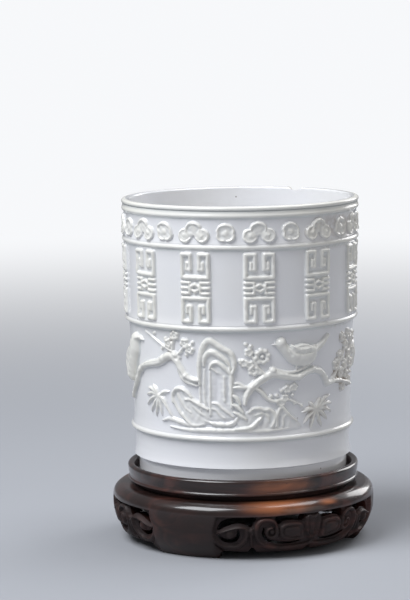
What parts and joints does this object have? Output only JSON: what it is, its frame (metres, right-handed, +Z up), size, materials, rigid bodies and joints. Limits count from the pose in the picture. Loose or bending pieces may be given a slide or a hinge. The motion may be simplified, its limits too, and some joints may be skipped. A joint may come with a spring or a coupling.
{
  "type": "brush pot",
  "caption": "White porcelain brush pot with applied relief bands, standing in a round pierced and carved dark hardwood stand.",
  "frame": {"origin": "centre of the face that the stand rests on", "axes": "+Z up along the pot's axis, -Y towards the front, +X to the right"},
  "size_m": [0.131, 0.131, 0.1709],
  "materials": {
    "white_porcelain": "glossy white glaze over porcelain",
    "dark_hardwood": "waxed dark hardwood"
  },
  "bodies": {
    "stand": {"stand_body": "dark_hardwood", "stand_seat": "dark_hardwood"},
    "pot": {"bird_clinging_back": "white_porcelain", "bird_clinging_front": "white_porcelain", "bird_perched_back": "white_porcelain", "bird_perched_front": "white_porcelain", "branch_left_back": "white_porcelain", "branch_left_front": "white_porcelain", "branch_right_back": "white_porcelain", "branch_right_front": "white_porcelain", "cloud_head_large_01": "white_porcelain", "cloud_head_large_02": "white_porcelain", "cloud_head_large_03": "white_porcelain", "cloud_head_large_04": "white_porcelain", "cloud_head_large_05": "white_porcelain", "cloud_head_large_06": "white_porcelain", "cloud_head_large_07": "white_porcelain", "cloud_head_large_08": "white_porcelain", "cloud_head_large_09": "white_porcelain", "cloud_head_large_10": "white_porcelain", "cloud_head_large_11": "white_porcelain", "cloud_head_large_12": "white_porcelain", "cloud_head_small_01": "white_porcelain", "cloud_head_small_02": "white_porcelain", "cloud_head_small_03": "white_porcelain", "cloud_head_small_04": "white_porcelain", "cloud_head_small_05": "white_porcelain", "cloud_head_small_06": "white_porcelain", "cloud_head_small_07": "white_porcelain", "cloud_head_small_08": "white_porcelain", "cloud_head_small_09": "white_porcelain", "cloud_head_small_10": "white_porcelain", "cloud_head_small_11": "white_porcelain", "cloud_head_small_12": "white_porcelain", "fret_tablet_01": "white_porcelain", "fret_tablet_02": "white_porcelain", "fret_tablet_03": "white_porcelain", "fret_tablet_04": "white_porcelain", "fret_tablet_05": "white_porcelain", "fret_tablet_06": "white_porcelain", "fret_tablet_07": "white_porcelain", "fret_tablet_08": "white_porcelain", "fret_tablet_09": "white_porcelain", "fret_tablet_10": "white_porcelain", "fret_tablet_11": "white_porcelain", "fret_tablet_12": "white_porcelain", "leaves_left_back": "white_porcelain", "leaves_left_front": "white_porcelain", "leaves_right_back": "white_porcelain", "leaves_right_front": "white_porcelain", "pot_body": "white_porcelain", "rock_tall_back": "white_porcelain", "rock_tall_front": "white_porcelain", "rocks_low_back": "white_porcelain", "rocks_low_front": "white_porcelain"}
  },
  "joints": [
    {"name": "pot_lift", "type": "slide", "parent": "stand", "child": "pot", "axis": [0, 0, 1], "range_m": [0, 0.06]}
  ]
}
